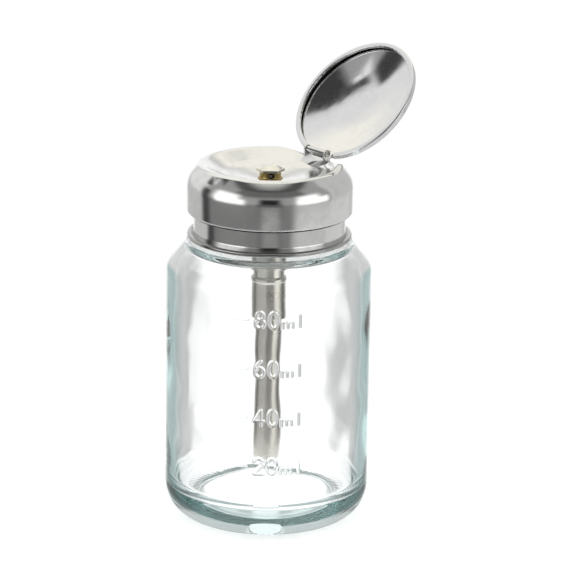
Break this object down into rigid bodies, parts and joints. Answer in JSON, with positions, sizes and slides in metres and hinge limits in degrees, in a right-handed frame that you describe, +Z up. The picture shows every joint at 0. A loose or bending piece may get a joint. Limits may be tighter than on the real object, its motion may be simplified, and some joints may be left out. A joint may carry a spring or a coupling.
{
  "type": "glass pump dispenser bottle",
  "caption": "Squat clear glass bottle with a push-down steel pump head, a dished top around a brass nozzle, and a round flip lid hinged at the back.",
  "frame": {"origin": "on the bottle's axis, at the plane it stands on", "axes": "+Z up along the bottle's axis, +Y towards the lid's hinge, +X completes a right-handed frame"},
  "size_m": [0.05, 0.0645, 0.1126],
  "materials": {
    "clear_glass": "clear moulded soda-lime glass",
    "polished_steel": "polished pressed stainless sheet",
    "satin_steel": "satin drawn tube",
    "brass": "turned and nickel-washed",
    "white_plastic": "moulded",
    "seal_plastic": "soft moulded",
    "black_rubber": "moulded"
  },
  "bodies": {
    "bottle": {"glass_bottle": "clear_glass"},
    "seal_ring": {"neck_gasket": "seal_plastic"},
    "pump_head": {"thread_insert": "white_plastic", "collar_shell": "polished_steel", "pump_cylinder": "satin_steel", "pump_nut": "satin_steel", "stem_guide": "white_plastic", "dip_tube": "satin_steel", "inlet_seat": "white_plastic", "return_spring": "satin_steel"},
    "foot_valve_ball": {"inlet_ball": "polished_steel"},
    "press_head": {"stem": "satin_steel", "piston": "white_plastic", "piston_seal": "black_rubber", "dish_washer": "seal_plastic", "press_bell": "polished_steel", "hinge_bracket": "polished_steel", "hinge_pin": "satin_steel"},
    "stem_valve_ball": {"outlet_ball": "polished_steel"},
    "nozzle_washer": {"nozzle_seal": "seal_plastic"},
    "twist_nozzle": {"nozzle": "brass"},
    "lid": {"lid_shell": "polished_steel"}
  },
  "joints": [
    {"name": "head_lift", "type": "slide", "parent": "bottle", "child": "seal_ring", "axis": [0, 0, 1], "range_m": [0, 0.0045]},
    {"name": "head_unscrew", "type": "hinge", "parent": "seal_ring", "child": "pump_head", "pos_m": [0, 0, 0.0762], "axis": [0, 0, 1], "range_deg": [0, 545]},
    {"name": "press", "type": "slide", "parent": "pump_head", "child": "press_head", "axis": [0, 0, -1], "range_m": [0, 0.003], "stiffness_N_per_m": 600, "springref_m": -0.003, "deforming": ["return_spring"]},
    {"name": "foot_valve", "type": "slide", "parent": "pump_head", "child": "foot_valve_ball", "axis": [0, 0, 1], "range_m": [0, 0.0008]},
    {"name": "stem_valve", "type": "slide", "parent": "press_head", "child": "stem_valve_ball", "axis": [0, 0, 1], "range_m": [0, 0.0008]},
    {"name": "nozzle_lift", "type": "slide", "parent": "press_head", "child": "nozzle_washer", "axis": [0, 0, 1], "range_m": [0, 0.0007]},
    {"name": "nozzle_turn", "type": "hinge", "parent": "nozzle_washer", "child": "twist_nozzle", "pos_m": [0, 0, 0.0845], "axis": [0, 0, 1], "range_deg": [0, 365]},
    {"name": "lid_hinge", "type": "hinge", "parent": "press_head", "child": "lid", "pos_m": [0, 0.015, 0.08895], "axis": [-1, 0, 0], "range_deg": [-133.5, 0]}
  ],
  "couplings": [
    {"joint": "head_unscrew", "follows": "head_lift", "rad_per_m": 2094.4},
    {"joint": "nozzle_turn", "follows": "nozzle_lift", "rad_per_m": 8976}
  ]
}
